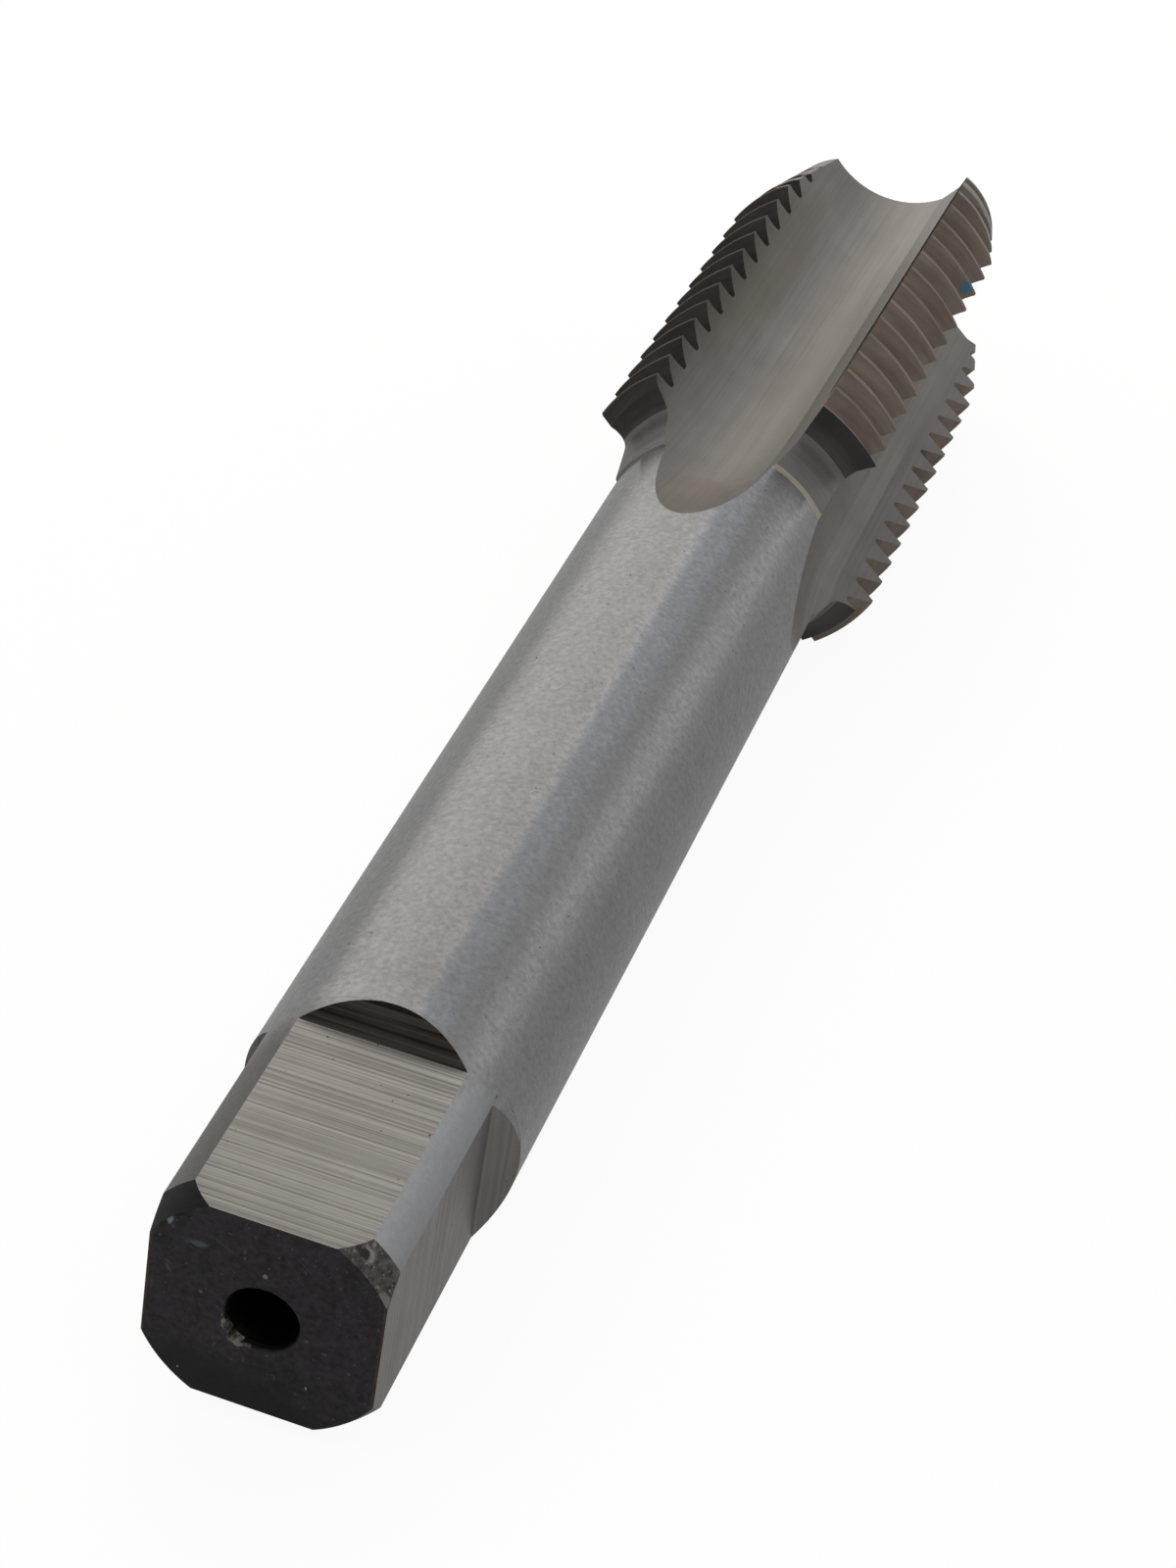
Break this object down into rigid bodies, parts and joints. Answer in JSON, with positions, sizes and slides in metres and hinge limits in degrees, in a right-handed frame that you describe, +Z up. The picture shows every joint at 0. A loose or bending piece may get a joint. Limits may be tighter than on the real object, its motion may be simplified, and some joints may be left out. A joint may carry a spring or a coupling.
{
  "type": "hand tap",
  "caption": "Left-hand metric hand tap with straight flutes, a relieved lead chamfer, a plain shank and a square drive.",
  "frame": {"origin": "on the resting surface, below the middle of the tap's box", "axes": "+Z up; +X along the tap from the square end to the threaded tip; the axis rises 1.4 degrees to the tip"},
  "size_m": [0.1122, 0.0176, 0.018],
  "materials": {
    "tool_steel": "satin ground shank, milled square with a dark oxide end, stained threads"
  },
  "bodies": {
    "root": {"tap": "tool_steel"}
  },
  "joints": []
}
